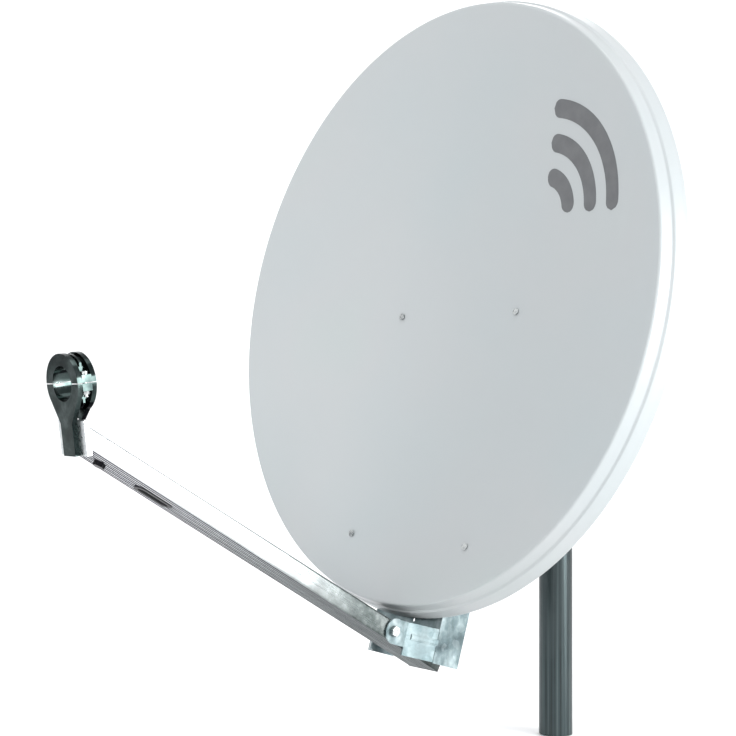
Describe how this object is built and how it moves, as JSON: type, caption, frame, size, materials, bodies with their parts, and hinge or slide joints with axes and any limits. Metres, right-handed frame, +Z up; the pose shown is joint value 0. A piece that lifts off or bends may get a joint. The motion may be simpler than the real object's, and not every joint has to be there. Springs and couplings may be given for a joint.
{
  "type": "satellite dish",
  "caption": "Offset satellite dish: oval reflector with a turned-back skirt, folding feed arm with a round feed clamp, tilting bracket and mast clamp on a mast stub.",
  "frame": {"origin": "centre of the mast stub's foot", "axes": "+Z up along the mast, -Y the way the reflector looks, +X to the reflector's left"},
  "size_m": [0.808, 0.8854, 1.0585],
  "materials": {
    "reflector_coat": "satin powder coat",
    "galvanised": "hot-dip galvanised, faintly spangled",
    "arm_sheet": "plain mill finish, fine lengthwise grooves below",
    "holder_casting": "dark die-cast, glossy",
    "cast_alloy": "die-cast, plain",
    "zinc": "bright zinc plate",
    "mast_steel": "dull galvanised tube",
    "black_plastic": "moulded, matt",
    "rubber": "matt"
  },
  "bodies": {
    "mast": {"mast_tube": "mast_steel", "mast_cap": "black_plastic"},
    "mast_clamp": {"mast_bracket": "galvanised", "lower_saddle": "cast_alloy", "upper_saddle": "cast_alloy", "lower_jaw": "cast_alloy", "upper_jaw": "cast_alloy", "clamp_bolts": "zinc", "clamp_washers": "zinc", "clamp_nuts": "zinc", "elevation_bolt": "zinc", "elevation_nut": "zinc", "elevation_washers": "zinc", "lock_bolts": "zinc", "lock_washers": "zinc", "lock_nuts": "zinc"},
    "dish": {"reflector": "reflector_coat", "dish_bracket": "galvanised", "lower_strap": "galvanised", "upper_strap": "galvanised", "strap_bolts": "zinc", "strap_nuts": "zinc", "reflector_bolts": "zinc", "reflector_nuts": "zinc", "reflector_spacers": "rubber", "stop_bar": "galvanised", "fold_bolt": "zinc", "fold_nut": "zinc"},
    "arm": {"feed_arm": "arm_sheet", "arm_end_cap": "arm_sheet", "arm_tail_plug": "black_plastic", "cable_grommet": "zinc", "holder_bolt": "zinc", "lnb_saddle": "holder_casting", "lnb_cap": "holder_casting", "lnb_screws": "zinc", "lnb_nuts": "zinc"}
  },
  "joints": [
    {"name": "azimuth", "type": "hinge", "parent": "mast", "child": "mast_clamp", "pos_m": [0, 0, 0.519], "axis": [0, 0, 1], "continuous": true},
    {"name": "elevation", "type": "hinge", "parent": "mast_clamp", "child": "dish", "pos_m": [0, -0.12, 0.56], "axis": [-1, 0, 0], "range_deg": [-19.5, 22.5]},
    {"name": "arm_fold", "type": "hinge", "parent": "dish", "child": "arm", "pos_m": [0, -0.3584, 0.1976], "axis": [-1, 0, 0], "range_deg": [0, 50]}
  ]
}
